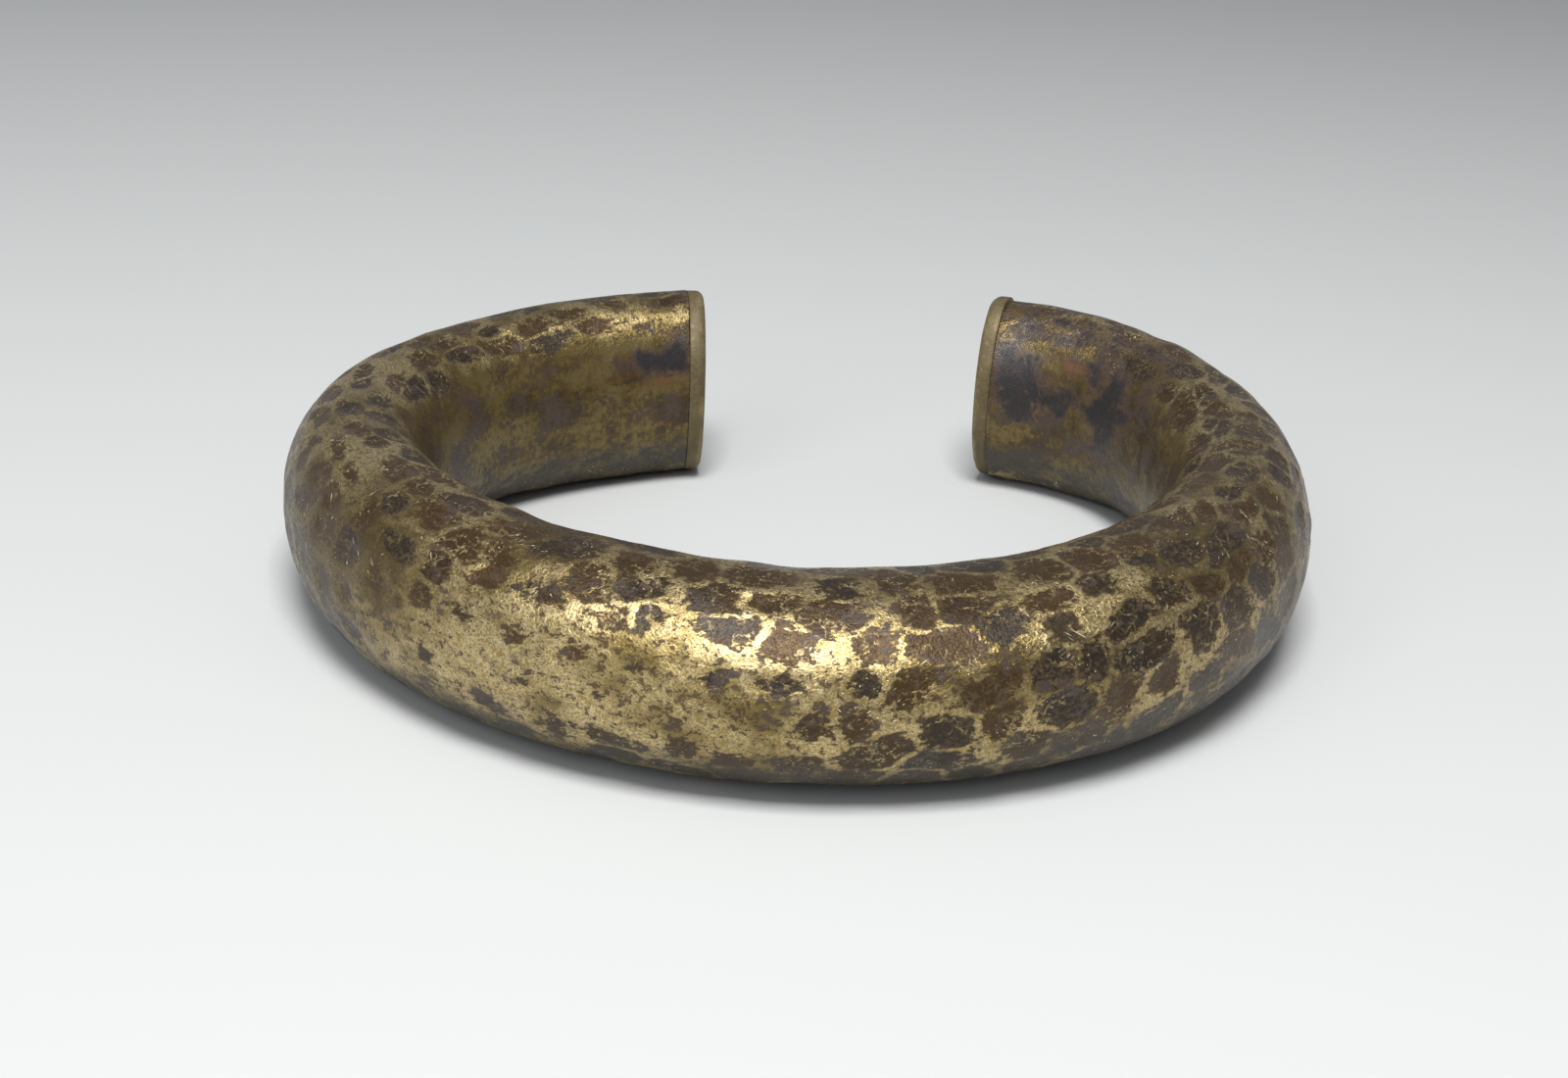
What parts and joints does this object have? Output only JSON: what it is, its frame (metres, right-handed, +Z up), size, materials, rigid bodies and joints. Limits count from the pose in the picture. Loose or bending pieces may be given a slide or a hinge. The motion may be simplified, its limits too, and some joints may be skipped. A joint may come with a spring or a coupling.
{
  "type": "open bangle bracelet",
  "caption": "Open C-shaped bangle of hammered brass tube, oval in section, with a flat plate closing each end.",
  "frame": {"origin": "bottom of the bangle, under the middle of its bounding box, as it lies on its side", "axes": "+X across the bangle, +Y from the bow towards the mouth, +Z up, along the height of the tube"},
  "size_m": [0.0854, 0.0774, 0.0179],
  "materials": {
    "hammered_brass": "hammered all over, dark brown patina in the hammer marks, rubbed to pale brass on the ridges between them",
    "plate_brass": "filed flat, dulled with age, rubbed bright along the rim"
  },
  "bodies": {
    "root": {"hammered_tube": "hammered_brass", "left_end_plate": "plate_brass", "right_end_plate": "plate_brass"}
  },
  "joints": []
}
